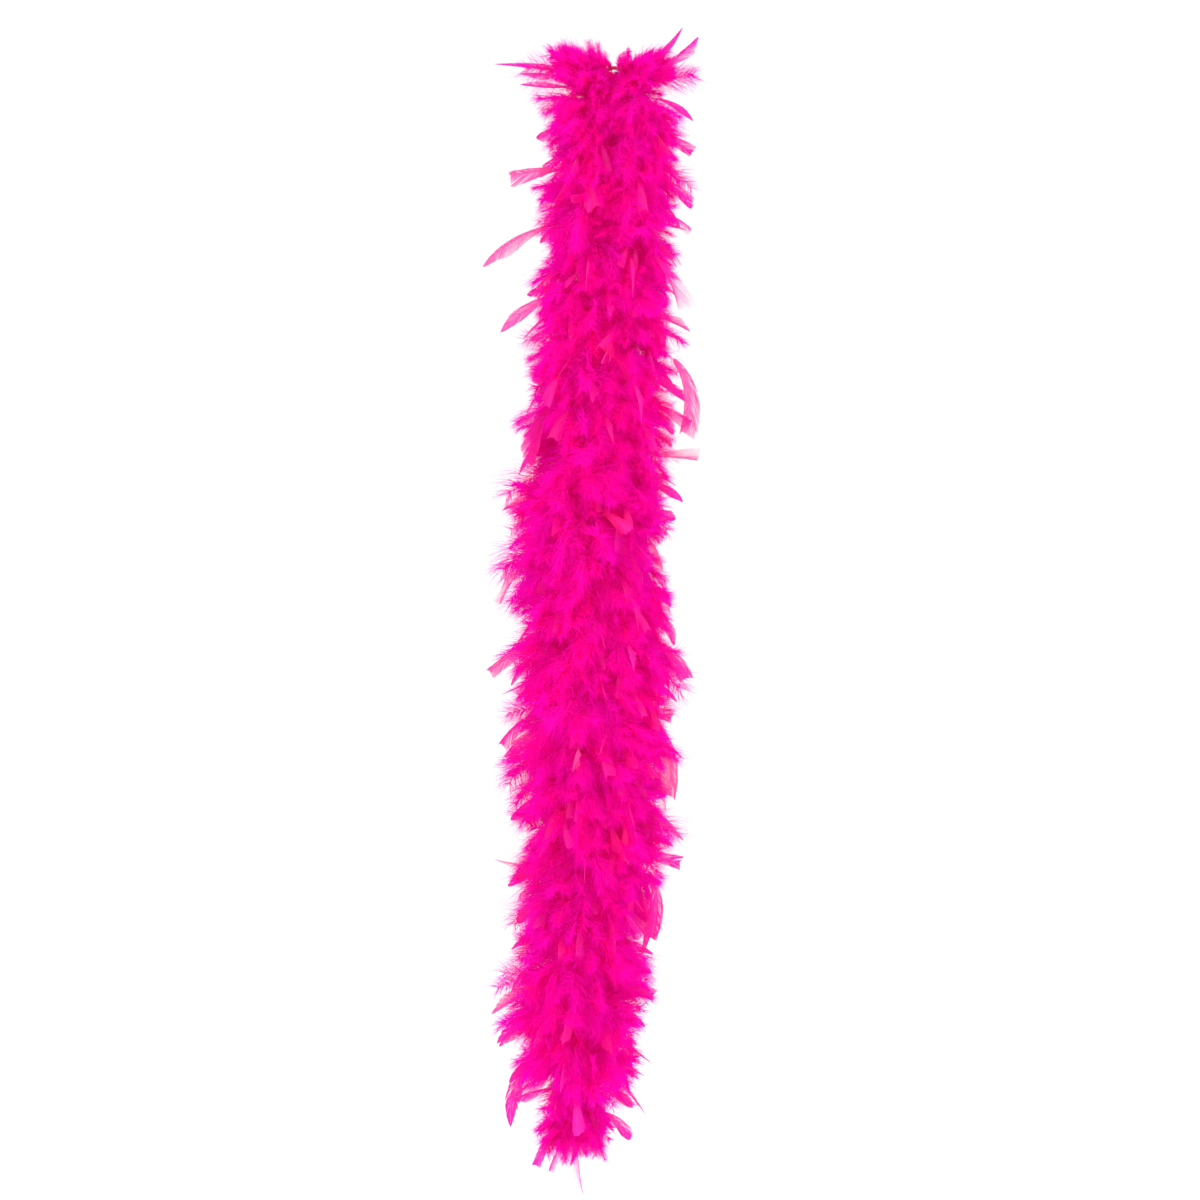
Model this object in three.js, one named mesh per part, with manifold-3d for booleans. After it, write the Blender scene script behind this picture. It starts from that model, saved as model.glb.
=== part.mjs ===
// A feather boa hung doubled over a thin hook: one long twisted cord with bunches of
// feathers locked to it, folded at the hook into a long tail and a shorter tail.
// Millimetres, +Z up. The origin is the point where the underside of the cord rests on the hook.

import * as THREE from 'three';
import { mergeVertices } from 'three/addons/utils/BufferGeometryUtils.js';
import Module from 'manifold-3d';

const wasm = await Module();
wasm.setup();

// ---- Driving dimensions ----

const CORD_RADIUS = 2;            // two twisted plies, 4 mm across
const CORD_SIDES = 8;
const CORD_STEP = 26;             // length of one straight facet of the cord
const CORD_POINT_SPACING = 40;    // between the points that a tail's cord is drawn through
const FOLD_RADIUS = 20;           // centreline of the cord round the hook
const FOLD_STEPS = 14;            // facets of the cord round the hook, from bend to bend
const FOLD_ARC_TURNS = [-50, -25, 0, 25, 50];
const FOLD_END_TURN = 75;         // degrees from the top of the fold to where its arms go straight on
const ROUTE_START_TURNS = [60, 90];
const LONG_DROP = 1015;           // hook to the end of the long tail's cord
const SHORT_DROP = 795;           // hook to the end of the short tail's cord
const TAILS_APART_X = -8;         // plane that keeps the two tails side by side
const TAIL_GAP = 0.4;             // each tail stays this far from that plane

const TUFT_PITCH = 55;            // along the cord, from one bunch to the next
const FIRST_TUFT_DROP = 52;
const FEATHER_REACH = 76;         // length of a bunch's feathers
const FEATHER_WIDTH = 17;
const FEATHER_THICKNESS = 2.4;
const FEATHERS_PER_TUFT = 7;
const FOLD_FEATHER_REACH = 58;
const FEATHERS_PER_FOLD_TUFT = 8;
const FEATHER_STATIONS = 4;       // places along a feather where its outline turns
const QUILL_WIDTH = 0.16;         // share of the full width
const WIDEST_AT = 0.62;           // share of the reach
const POINTED_TIP = 0.3;          // share of the full width
const CUT_TIP = 0.9;
const LONG_FEATHER_LIFT = 14.3;   // tied this far above the bunch under it
const LONG_FEATHER_WIDTH = 15;
const LONG_FEATHER_THICKNESS = 2;

const COLLAR_WALL = 1.8;          // quills and binding thread round the cord
const COLLAR_LENGTH = 9;
const COLLAR_GAP = 0.8;           // least distance from the last collar to the end whipping
const QUILL_SEAT = 0.6;           // share of the collar's wall that lies inside the quills' roots
const CORD_CLEARANCE = 0.35;
const FOLD_CLEARANCE = 1.2;       // a collar on the bent cord needs more room
const FOLD_COLLAR_LENGTH = 5;
const FOLD_TUFT_TURN = 62;        // degrees from the top of the fold to each of its bunches
const JOINT_GAP = 1.4;            // between two stretches of cord at a bending point

const WHIPPING_LENGTH = 12;
const WHIPPING_WALL = 1.6;
const WHIPPING_LIFT = 1;          // from the cord's end to the whipping
const KNOT_RADIUS = 6.5;
const KNOT_SIDES = 10;
const KNOT_RINGS = 7;
const END_GAP = 0.35;

// The cord's route down each tail, as [x, z]; y is 0 all the way.
const LONG_ROUTE = [[-21, -50], [-25, -200], [-28, -400], [-30, -600], [-33, -800], [-36, -LONG_DROP]];
const SHORT_ROUTE = [[18, -50], [12, -200], [6, -400], [3, -600], [2, -SHORT_DROP]];

// Bending points of the tails, midway between two bunches.
const BEND_AFTER_LONG = [0, 5, 9, 13];
const BEND_AFTER_SHORT = [0, 5, 9];

// The bunches. lie is how steeply, in degrees, a feather leaves the cord and how steeply its tip hangs.
const HANGING_TUFT = {
  lie: { start: 8, end: 74 },
  spread: 360,
  count: FEATHERS_PER_TUFT,
  reach: FEATHER_REACH,
  clearance: CORD_CLEARANCE,
  collarLength: COLLAR_LENGTH,
};
const END_TUFT = { ...HANGING_TUFT, lie: { start: 34, end: 84 } };
const FOLD_TUFT = {
  lie: { start: -62, end: -8 },
  spread: 270,
  count: FEATHERS_PER_FOLD_TUFT,
  reach: FOLD_FEATHER_REACH,
  clearance: FOLD_CLEARANCE,
  collarLength: FOLD_COLLAR_LENGTH,
};

const DOWN = new THREE.Vector3(0, 0, -1);
const degrees = THREE.MathUtils.degToRad;

const DYED_FEATHER = { color: 0xff0090, roughness: 0.85, metalness: 0 };
const LONG_FEATHER = { color: 0xf53aa8, roughness: 0.8, metalness: 0 };
const COTTON_CORD = { color: 0xc4006a, roughness: 0.95, metalness: 0 };
const BINDING_THREAD = { color: 0xa80058, roughness: 0.9, metalness: 0 };

// ---- The cord's route ----

function foldPoint(turn) {
  // turn is degrees from the top of the fold, negative towards the long tail
  const a = degrees(turn);
  const centreZ = CORD_RADIUS - FOLD_RADIUS;
  return new THREE.Vector3(FOLD_RADIUS * Math.sin(a), 0, centreZ + FOLD_RADIUS * Math.cos(a));
}

function tailCurve(route, side) {
  const start = ROUTE_START_TURNS.map((turn) => foldPoint(side * turn));
  const rest = route.map(([x, z]) => new THREE.Vector3(x, 0, z));
  return new THREE.CatmullRomCurve3([...start, ...rest], false, 'centripetal');
}

const longCurve = tailCurve(LONG_ROUTE, -1);
const shortCurve = tailCurve(SHORT_ROUTE, 1);

function pointAtDepth(curve, depth) {
  // the route only ever goes down, so halving finds the place at one depth
  let low = 0;
  let high = 1;
  while (high - low > 1e-9) {
    const middle = (low + high) / 2;
    if (curve.getPoint(middle).z > -depth) low = middle;
    else high = middle;
  }
  const t = (low + high) / 2;
  return { t, point: curve.getPoint(t), tangent: curve.getTangent(t).normalize() };
}

// ---- Solids ----

function toManifold(geometry) {
  const bare = geometry.index ? geometry.toNonIndexed() : geometry.clone();
  for (const name of Object.keys(bare.attributes)) {
    if (name !== 'position') bare.deleteAttribute(name);
  }
  const merged = mergeVertices(bare, 1e-4);
  const mesh = new wasm.Mesh({
    numProp: 3,
    vertProperties: new Float32Array(merged.attributes.position.array),
    triVerts: new Uint32Array(merged.index.array),
  });
  mesh.merge();
  return new wasm.Manifold(mesh);
}

function toGeometry(manifold) {
  const mesh = manifold.getMesh();
  const geometry = new THREE.BufferGeometry();
  geometry.setAttribute('position', new THREE.BufferAttribute(new Float32Array(mesh.vertProperties), 3));
  geometry.setIndex(new THREE.BufferAttribute(new Uint32Array(mesh.triVerts), 1));
  const flat = geometry.toNonIndexed();
  flat.computeVertexNormals();
  return flat;
}

function polygonShape(points) {
  return new THREE.Shape(points.map(([x, y]) => new THREE.Vector2(x, y)));
}

function roundShape(radius, sides) {
  const ring = Array.from({ length: sides }, (_, i) => {
    const a = (2 * Math.PI * (i + 0.5)) / sides;
    return [radius * Math.cos(a), radius * Math.sin(a)];
  });
  return polygonShape(ring);
}

function cordTube(points) {
  const path = new THREE.CatmullRomCurve3(points, false, 'centripetal');
  const steps = Math.max(1, Math.round(path.getLength() / CORD_STEP));
  const options = { steps, extrudePath: path, bevelEnabled: false };
  return new THREE.ExtrudeGeometry(roundShape(CORD_RADIUS, CORD_SIDES), options);
}

function sleeve(innerRadius, wall, length) {
  // a ring round the cord, its bore measured across the flats so the cord clears it
  const inner = innerRadius / Math.cos(Math.PI / CORD_SIDES);
  const outer = inner + wall;
  const half = length / 2;
  const profile = [[inner, -half], [outer, -half], [outer, half], [inner, half], [inner, -half]];
  const geometry = new THREE.LatheGeometry(profile.map(([r, h]) => new THREE.Vector2(r, h)), CORD_SIDES);
  geometry.rotateX(Math.PI / 2);
  geometry.rotateZ(Math.PI / CORD_SIDES);
  return geometry;
}

function feather({ reach, width, thickness, lie, tip, clearance }) {
  // One feather leaves the cord along +X and droops towards -Z. Its side view is a thin band that
  // follows an arc; its width then swells from the quill to the vane and narrows at the tip.
  const rootRadius = CORD_RADIUS + clearance + COLLAR_WALL * QUILL_SEAT;
  const centre = [];
  const normals = [];
  const spansPerStation = 8;
  const spans = (FEATHER_STATIONS - 1) * spansPerStation;
  let r = rootRadius;
  let z = 0;
  for (let i = 0; i <= spans; i += 1) {
    const slope = degrees(lie.start + (lie.end - lie.start) * (i / spans));
    if (i % spansPerStation === 0) {
      centre.push([r, z]);
      normals.push([Math.sin(slope), Math.cos(slope)]);
    }
    r += (Math.cos(slope) * reach) / spans;
    z -= (Math.sin(slope) * reach) / spans;
  }
  const half = thickness / 2;
  const above = centre.map(([x, y], i) => [x + normals[i][0] * half, y + normals[i][1] * half]);
  const below = centre.map(([x, y], i) => [x - normals[i][0] * half, y - normals[i][1] * half]);
  const band = polygonShape([...below, ...above.reverse()]);
  const geometry = new THREE.ExtrudeGeometry(band, { depth: width, bevelEnabled: false, steps: 1 });
  geometry.translate(0, 0, -width / 2);
  geometry.rotateX(Math.PI / 2);
  const reached = centre[FEATHER_STATIONS - 1][0] - rootRadius;
  const position = geometry.attributes.position;
  for (let i = 0; i < position.count; i += 1) {
    const along = THREE.MathUtils.clamp((position.getX(i) - rootRadius) / reached, 0, 1);
    position.setY(i, position.getY(i) * vaneWidth(along, tip));
  }
  return geometry;
}

function vaneWidth(along, tip) {
  // share of the full width: a narrow quill, the full vane two thirds out, then the tip
  if (along < WIDEST_AT) {
    return QUILL_WIDTH + (1 - QUILL_WIDTH) * Math.sin((Math.PI / 2) * (along / WIDEST_AT));
  }
  const beyond = (along - WIDEST_AT) / (1 - WIDEST_AT);
  return 1 + (tip - 1) * beyond * Math.sqrt(beyond);
}

function aimed(geometry, azimuth) {
  geometry.rotateZ(degrees(azimuth));
  return geometry;
}

function placed(manifold, point, tangent) {
  // the solid's -Z is turned along the cord
  const turn = new THREE.Quaternion().setFromUnitVectors(DOWN, tangent);
  const matrix = new THREE.Matrix4().compose(point, turn, new THREE.Vector3(1, 1, 1));
  return manifold.transform(matrix.elements);
}

function ownSide(manifold, side) {
  // keeps what lies on one tail's side of the plane between the tails
  const size = 4000;
  const box = new THREE.BoxGeometry(size, size, size);
  box.translate(TAILS_APART_X + side * (size / 2 + TAIL_GAP), 0, 0);
  return manifold.intersect(toManifold(box));
}

// ---- Pieces ----

const boa = new THREE.Group();
boa.name = 'feather_boa';

function addPiece(name, geometry, finish) {
  const mesh = new THREE.Mesh(geometry, new THREE.MeshStandardMaterial(finish));
  mesh.name = name;
  boa.add(mesh);
}

function tuft({ azimuth, spread, lie, point, tangent, side, count, reach, clearance, collarLength }) {
  // one bunch: its quills bound in a collar round the cord, its feathers spread round it
  let solid = toManifold(sleeve(CORD_RADIUS + clearance, COLLAR_WALL, collarLength));
  for (let i = 0; i < count; i += 1) {
    const tip = i % 2 === 0 ? POINTED_TIP : CUT_TIP;
    const blade = feather({ reach, width: FEATHER_WIDTH, thickness: FEATHER_THICKNESS, lie, tip, clearance });
    solid = solid.add(toManifold(aimed(blade, azimuth + spread * (i / count - 0.5 + 0.5 / count))));
  }
  return toGeometry(ownSide(placed(solid, point, tangent), side));
}

function tuftDepths(drop) {
  // bunches go on down the tail as long as a whole collar fits above the end whipping
  const endRoom = WHIPPING_LIFT + WHIPPING_LENGTH + COLLAR_GAP + COLLAR_LENGTH / 2;
  const count = Math.floor((drop - FIRST_TUFT_DROP - endRoom) / TUFT_PITCH) + 1;
  return Array.from({ length: count }, (_, i) => FIRST_TUFT_DROP + i * TUFT_PITCH);
}

function bendDepths(after) {
  return after.map((count) => FIRST_TUFT_DROP + (count - 0.5) * TUFT_PITCH);
}

function tuftTurn(index) {
  // each bunch's feathers stand over the gaps of the bunch above
  return (index % 2) * (180 / FEATHERS_PER_TUFT);
}

function addTailTufts(name, curve, drop, side) {
  const depths = tuftDepths(drop);
  depths.forEach((depth, i) => {
    const { point, tangent } = pointAtDepth(curve, depth);
    const azimuth = tuftTurn(i);
    const label = `${name}_${String(i + 1).padStart(2, '0')}`;
    const shape = i === depths.length - 1 ? END_TUFT : HANGING_TUFT;
    addPiece(label, tuft({ ...shape, azimuth, point, tangent, side }), DYED_FEATHER);
  });
}

function addFoldTufts() {
  for (const [name, side] of [['tuft_fold_left', -1], ['tuft_fold_right', 1]]) {
    const turn = side * FOLD_TUFT_TURN;
    const ahead = foldPoint(turn + side);
    const point = foldPoint(turn);
    const tangent = ahead.clone().sub(foldPoint(turn - side)).normalize();
    addPiece(name, tuft({ ...FOLD_TUFT, azimuth: side > 0 ? 0 : 180, point, tangent, side }), DYED_FEATHER);
  }
}

function stretchPoints(curve, fromDepth, toDepth) {
  const a = pointAtDepth(curve, fromDepth).t;
  const b = pointAtDepth(curve, toDepth).t;
  const count = Math.max(2, Math.round((toDepth - fromDepth) / CORD_POINT_SPACING));
  return Array.from({ length: count + 1 }, (_, i) => curve.getPoint(a + ((b - a) * i) / count));
}

function addTailCord(name, curve, bends, drop) {
  const labels = ['upper', 'middle', 'lower', 'end'];
  bends.forEach((bend, i) => {
    const from = bend + JOINT_GAP / 2;
    const to = i + 1 < bends.length ? bends[i + 1] - JOINT_GAP / 2 : drop;
    const part = i + 1 < bends.length ? labels[i] : 'end';
    addPiece(`${name}_${part}`, cordTube(stretchPoints(curve, from, to)), COTTON_CORD);
  });
}

function addFoldCord(longBend, shortBend) {
  const armStart = -foldPoint(FOLD_END_TURN).z;
  const left = stretchPoints(longCurve, armStart, longBend - JOINT_GAP / 2).reverse();
  const right = stretchPoints(shortCurve, armStart, shortBend - JOINT_GAP / 2);
  const arc = FOLD_ARC_TURNS.map(foldPoint);
  const points = [...left, ...arc, ...right];
  const path = new THREE.CatmullRomCurve3(points, false, 'centripetal');
  const options = { steps: FOLD_STEPS, extrudePath: path, bevelEnabled: false };
  const geometry = new THREE.ExtrudeGeometry(roundShape(CORD_RADIUS, CORD_SIDES), options);
  addPiece('core_cord_fold', geometry, COTTON_CORD);
}

function addEnd(name, curve, drop) {
  // thread wound over the last quills, and the cord's own knot under it
  const whippingDepth = drop - WHIPPING_LENGTH / 2 - WHIPPING_LIFT;
  const whip = pointAtDepth(curve, whippingDepth);
  const ring = toManifold(sleeve(CORD_RADIUS + CORD_CLEARANCE, WHIPPING_WALL, WHIPPING_LENGTH));
  addPiece(`end_whipping_${name}`, toGeometry(placed(ring, whip.point, whip.tangent)), BINDING_THREAD);
  const knot = new THREE.SphereGeometry(KNOT_RADIUS, KNOT_SIDES, KNOT_RINGS);
  const end = curve.getPoint(1);
  const knotCentre = end.clone().add(curve.getTangent(1).multiplyScalar(KNOT_RADIUS + END_GAP));
  knot.rotateX(Math.PI / 2);
  knot.translate(knotCentre.x, knotCentre.y, knotCentre.z);
  addPiece(`end_knot_${name}`, knot, COTTON_CORD);
}

// Long feathers that stand out of the down. Each: tail, the bunch it is tied above, which gap between
// two feathers of the next bunch up it passes through, length, how it lies, and its tip.
const LONG_FEATHERS = [
  { tail: 'long', above: 2, gap: 0, reach: 88, lie: { start: -4, end: 14 }, tip: CUT_TIP },
  { tail: 'long', above: 3, gap: 0, reach: 112, lie: { start: 4, end: 52 }, tip: POINTED_TIP },
  { tail: 'long', above: 4, gap: 0, reach: 94, lie: { start: 10, end: 40 }, tip: POINTED_TIP },
  { tail: 'long', above: 8, gap: 0, reach: 98, lie: { start: 10, end: 62 }, tip: CUT_TIP },
  { tail: 'long', above: 10, gap: 0, reach: 96, lie: { start: 10, end: 50 }, tip: CUT_TIP },
  { tail: 'long', above: 12, gap: 2, reach: 90, lie: { start: 2, end: 50 }, tip: POINTED_TIP },
  { tail: 'long', above: 14, gap: 0, reach: 88, lie: { start: 12, end: -10 }, tip: POINTED_TIP },
  { tail: 'long', above: 16, gap: 0, reach: 94, lie: { start: 10, end: 50 }, tip: POINTED_TIP },
  { tail: 'short', above: 5, gap: 3, reach: 90, lie: { start: 4, end: 74 }, tip: CUT_TIP },
  { tail: 'short', above: 7, gap: 3, reach: 72, lie: { start: -8, end: 12 }, tip: CUT_TIP },
  { tail: 'short', above: 8, gap: 5, reach: 88, lie: { start: 2, end: 52 }, tip: POINTED_TIP },
  { tail: 'short', above: 11, gap: 3, reach: 92, lie: { start: 8, end: 66 }, tip: CUT_TIP },
  { tail: 'short', above: 13, gap: 3, reach: 90, lie: { start: 16, end: 46 }, tip: POINTED_TIP },
];

function addLongFeathers() {
  const tails = {
    long: { curve: longCurve, side: -1, tufts: tuftDepths(LONG_DROP), count: 0 },
    short: { curve: shortCurve, side: 1, tufts: tuftDepths(SHORT_DROP), count: 0 },
  };
  for (const { tail, above, gap, reach, lie, tip } of LONG_FEATHERS) {
    const { curve, side, tufts } = tails[tail];
    // a tail too short for that bunch goes without the long feather too
    if (above <= tufts.length) {
      const { point, tangent } = pointAtDepth(curve, tufts[above - 1] - LONG_FEATHER_LIFT);
      const azimuth = tuftTurn(above - 2) + 360 * (gap / FEATHERS_PER_TUFT - 0.5);
      const collar = toManifold(sleeve(CORD_RADIUS + CORD_CLEARANCE, COLLAR_WALL, COLLAR_LENGTH / 2));
      const shape = { reach, width: LONG_FEATHER_WIDTH, thickness: LONG_FEATHER_THICKNESS, lie, tip };
      const blade = toManifold(aimed(feather({ ...shape, clearance: CORD_CLEARANCE }), azimuth));
      tails[tail].count += 1;
      const name = `long_feather_${tail}_${tails[tail].count}`;
      addPiece(name, toGeometry(ownSide(placed(collar.add(blade), point, tangent), side)), LONG_FEATHER);
    }
  }
}

// ---- Assembly ----

const longBends = bendDepths(BEND_AFTER_LONG);
const shortBends = bendDepths(BEND_AFTER_SHORT);
addFoldCord(longBends[0], shortBends[0]);
addTailCord('core_cord_long', longCurve, longBends, LONG_DROP);
addTailCord('core_cord_short', shortCurve, shortBends, SHORT_DROP);
addFoldTufts();
addTailTufts('tuft_long', longCurve, LONG_DROP, -1);
addTailTufts('tuft_short', shortCurve, SHORT_DROP, 1);
addLongFeathers();
addEnd('long', longCurve, LONG_DROP);
addEnd('short', shortCurve, SHORT_DROP);

export default boa;
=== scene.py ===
"""Looks of a feather boa hung doubled over a thin hook: its twisted cord, the thread that binds the
quills to it, and its dyed down and flat feathers. Metres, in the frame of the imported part."""

import math

import bpy
import numpy as np
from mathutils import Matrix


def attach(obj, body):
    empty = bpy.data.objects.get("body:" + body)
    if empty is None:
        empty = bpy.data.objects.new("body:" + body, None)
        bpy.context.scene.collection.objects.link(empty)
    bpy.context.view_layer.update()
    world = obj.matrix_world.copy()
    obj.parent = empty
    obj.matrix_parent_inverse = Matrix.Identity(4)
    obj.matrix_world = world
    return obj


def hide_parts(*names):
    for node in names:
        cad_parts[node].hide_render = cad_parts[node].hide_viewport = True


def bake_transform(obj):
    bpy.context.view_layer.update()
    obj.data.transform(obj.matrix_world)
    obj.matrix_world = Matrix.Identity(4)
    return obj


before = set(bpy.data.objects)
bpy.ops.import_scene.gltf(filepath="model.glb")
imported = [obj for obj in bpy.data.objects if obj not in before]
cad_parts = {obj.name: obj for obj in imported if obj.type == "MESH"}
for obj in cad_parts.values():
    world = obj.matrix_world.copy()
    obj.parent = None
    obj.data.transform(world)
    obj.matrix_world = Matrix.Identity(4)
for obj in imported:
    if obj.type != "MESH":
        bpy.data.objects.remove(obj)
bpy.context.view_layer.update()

MM = 0.001

# ---- Camera -------------------------------------------------------------------------------------
# A long lens, a few metres off and square on to the boa's middle, so that the tails stay upright
# and the top and the ends are seen level.

CAMERA_DISTANCE = 3.6
VIEW_WIDTH = 1148 * MM
VIEW_CENTRE = (-14 * MM, -507 * MM)

camera_data = bpy.data.cameras.new("camera")
camera_data.sensor_width = 36
camera_data.lens = camera_data.sensor_width * CAMERA_DISTANCE / VIEW_WIDTH
camera = bpy.data.objects.new("camera", camera_data)
camera.location = (VIEW_CENTRE[0], -CAMERA_DISTANCE, VIEW_CENTRE[1])
camera.rotation_euler = (math.radians(90), 0, 0)
bpy.context.scene.collection.objects.link(camera)
bpy.context.scene.camera = camera

# ---- Core cord ----------------------------------------------------------------------------------
# Two plies of dyed cotton twisted together, 4 mm across, 1.84 m from knot to knot. It lies over the
# hook in a small arc and hangs from there in a long and a shorter tail.

CORD_RADIUS = 2 * MM
FOLD_RADIUS = 20 * MM
LONG_DROP = 1015 * MM
SHORT_DROP = 795 * MM
PLY_RADIUS = 1.05 * MM
PLY_TURN = 9 * MM          # cord that one full turn of the plies takes
PLY_SIDES = 6
PLY_STEP = 1.3 * MM

# The route down each tail, (x, z) in mm; it starts at the sides of the fold's arc.
LONG_ROUTE = [(-21, -50), (-25, -200), (-28, -400), (-30, -600), (-33, -800), (-36, -1015)]
SHORT_ROUTE = [(18, -50), (12, -200), (6, -400), (3, -600), (2, -795)]

# Heights at which the strand bends when a tail swings, and the bodies above and below each.
BENDS = {
    "long": [
        (-24.5 * MM, "fold", "long_upper"),
        (-299.5 * MM, "long_upper", "long_middle"),
        (-519.5 * MM, "long_middle", "long_lower"),
        (-739.5 * MM, "long_lower", "long_end"),
    ],
    "short": [
        (-24.5 * MM, "fold", "short_upper"),
        (-299.5 * MM, "short_upper", "short_middle"),
        (-519.5 * MM, "short_middle", "short_end"),
    ],
}
BEND_ZONE = 45 * MM        # above and below the bending height
TOP_BEND_ZONE = 28 * MM


def fold_point(turn):
    """A point of the arc over the hook, turn degrees from its top, negative towards the long tail."""
    a = math.radians(turn)
    return (FOLD_RADIUS * math.sin(a), 0.0, CORD_RADIUS - FOLD_RADIUS + FOLD_RADIUS * math.cos(a))


def smooth_line(points, per_span):
    """A smooth curve through the points."""
    p = np.array(points, float)
    p = np.vstack([2 * p[0] - p[1], p, 2 * p[-1] - p[-2]])
    t = np.linspace(0, 1, per_span, endpoint=False)[:, None]
    spans = []
    for a, b, c, d in zip(p, p[1:], p[2:], p[3:]):
        cubic = (-a + 3 * b - 3 * c + d) * t**3
        spans.append(0.5 * (2 * b + (c - a) * t + (2 * a - 5 * b + 4 * c - d) * t**2 + cubic))
    return np.vstack(spans + [p[-2:-1]])


def tail_line(route, side):
    """The centreline from the top of the fold down one tail, in even steps of 1 mm."""
    arc = [fold_point(side * turn) for turn in (0, 15, 30, 45, 60, 75, 90)]
    hanging = [(x * MM, 0.0, z * MM) for x, z in route]
    line = smooth_line(arc + hanging, per_span=60)
    along = np.concatenate([[0], np.cumsum(np.linalg.norm(np.diff(line, axis=0), axis=1))])
    even = np.arange(0, along[-1], 1 * MM)
    return np.stack([np.interp(even, along, line[:, k]) for k in range(3)], axis=1)


LINES = {"long": tail_line(LONG_ROUTE, -1), "short": tail_line(SHORT_ROUTE, 1)}


def linear(hex_colour):
    """An sRGB hex colour as linear values with alpha."""
    values = [int(hex_colour[i : i + 2], 16) / 255 for i in (1, 3, 5)]
    return tuple(v / 12.92 if v < 0.04045 else ((v + 0.055) / 1.055) ** 2.4 for v in values) + (1.0,)


def add_node(material, kind, settings=None, **links):
    """Adds a node, sets its properties and sockets, and links sockets to other nodes' outputs."""
    node = material.node_tree.nodes.new(kind)
    for key, value in (settings or {}).items():
        if key in node.inputs:
            node.inputs[key].default_value = value
        else:
            setattr(node, key, value)
    for key, source in links.items():
        material.node_tree.links.new(source, node.inputs[key.replace("_", " ")])
    return node


def new_material(name):
    material = bpy.data.materials.new(name)
    material.use_nodes = True
    material.node_tree.nodes.clear()
    return material


def finish_material(material, shader):
    add_node(material, "ShaderNodeOutputMaterial", Surface=shader)
    return material


def dyed_cotton(name, colour, fibre_mm):
    """Twisted cotton: matt, with a soft edge glow from loose fibres, and a fine fibre grain."""
    material = new_material(name)
    place = add_node(material, "ShaderNodeTexCoord").outputs["Object"]
    grain = add_node(
        material, "ShaderNodeTexNoise", {"Scale": 1000 / fibre_mm, "Detail": 3.0}, Vector=place
    )
    ramp = add_node(material, "ShaderNodeValToRGB", Fac=grain.outputs["Fac"])
    ramp.color_ramp.elements[0].color = linear(colour[0])
    ramp.color_ramp.elements[1].color = linear(colour[1])
    bump = add_node(
        material, "ShaderNodeBump", {"Strength": 0.5, "Distance": 0.2 * MM}, Height=grain.outputs["Fac"]
    )
    cotton = add_node(
        material,
        "ShaderNodeBsdfPrincipled",
        {"Roughness": 0.9, "IOR": 1.5, "Sheen Weight": 0.3, "Specular IOR Level": 0.2},
        Base_Color=ramp.outputs["Color"],
        Normal=bump.outputs["Normal"],
    )
    return finish_material(material, cotton.outputs["BSDF"])


def add_mesh(name, vertices, faces, material, places=None):
    """A smooth-shaded mesh object from arrays of vertices and four-cornered faces."""
    vertices = np.asarray(vertices, np.float32)
    faces = np.asarray(faces, np.int32)
    mesh = bpy.data.meshes.new(name)
    mesh.vertices.add(len(vertices))
    mesh.vertices.foreach_set("co", vertices.ravel())
    mesh.loops.add(faces.size)
    mesh.loops.foreach_set("vertex_index", faces.ravel())
    mesh.polygons.add(len(faces))
    mesh.polygons.foreach_set("loop_start", np.arange(0, faces.size, 4, dtype=np.int32))
    mesh.polygons.foreach_set("use_smooth", np.ones(len(faces), bool))
    if places is not None:
        layer = mesh.uv_layers.new(name="OFBake")
        layer.data.foreach_set("uv", np.asarray(places, np.float32)[faces.ravel()].ravel())
    mesh.update(calc_edges=True)
    mesh.materials.append(material)
    piece = bpy.data.objects.new(name, mesh)
    bpy.context.scene.collection.objects.link(piece)
    return piece


def grid_faces(rows, columns, closed):
    """Faces of a skin over rows of points; closed joins each row's last point to its first."""
    r, c = np.meshgrid(np.arange(rows - 1), np.arange(columns if closed else columns - 1), indexing="ij")
    a = r * columns + c
    b = r * columns + (c + 1) % columns
    return np.stack([a, b, b + columns, a + columns], axis=-1).reshape(-1, 4)


def side_frames(line):
    """Tangents, and two directions square to them, along a line that stays near one plane."""
    tangent = np.gradient(line, axis=0)
    tangent /= np.linalg.norm(tangent, axis=1, keepdims=True)
    across = np.cross(tangent, [0.0, 1.0, 0.0])
    across /= np.linalg.norm(across, axis=1, keepdims=True)
    return tangent, across, np.cross(tangent, across)


def tube(line, radius, sides):
    """A tube with closed ends; radius is one number or one for each point."""
    _, across, other = side_frames(line)
    a = np.linspace(0, 2 * math.pi, sides, endpoint=False)
    radius = np.broadcast_to(np.asarray(radius, float), len(line))[:, None, None]
    ring = np.cos(a)[None, :, None] * across[:, None] + np.sin(a)[None, :, None] * other[:, None]
    skin = line[:, None] + radius * ring
    first = np.repeat(line[:1, None], sides, 1)
    last = np.repeat(line[-1:, None], sides, 1)
    skin = np.concatenate([first, skin, last])
    return skin.reshape(-1, 3), grid_faces(len(skin), sides, closed=True)


def wound(line, step, radius, turn, phase):
    """A line that winds round another at a radius, with one turn for each stretch of that length."""
    along = np.arange(len(line)) * MM
    at = np.arange(0, along[-1], step)
    centre = np.stack([np.interp(at, along, line[:, k]) for k in range(3)], axis=1)
    _, across, other = side_frames(centre)
    a = (2 * math.pi * at / turn + phase)[:, None]
    return centre + radius * (np.cos(a) * across + np.sin(a) * other)


def joined(parts):
    """Several (vertices, faces) as one."""
    offset = np.cumsum([0] + [len(v) for v, _ in parts[:-1]])
    return np.vstack([v for v, _ in parts]), np.vstack([f + o for (_, f), o in zip(parts, offset)])


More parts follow.
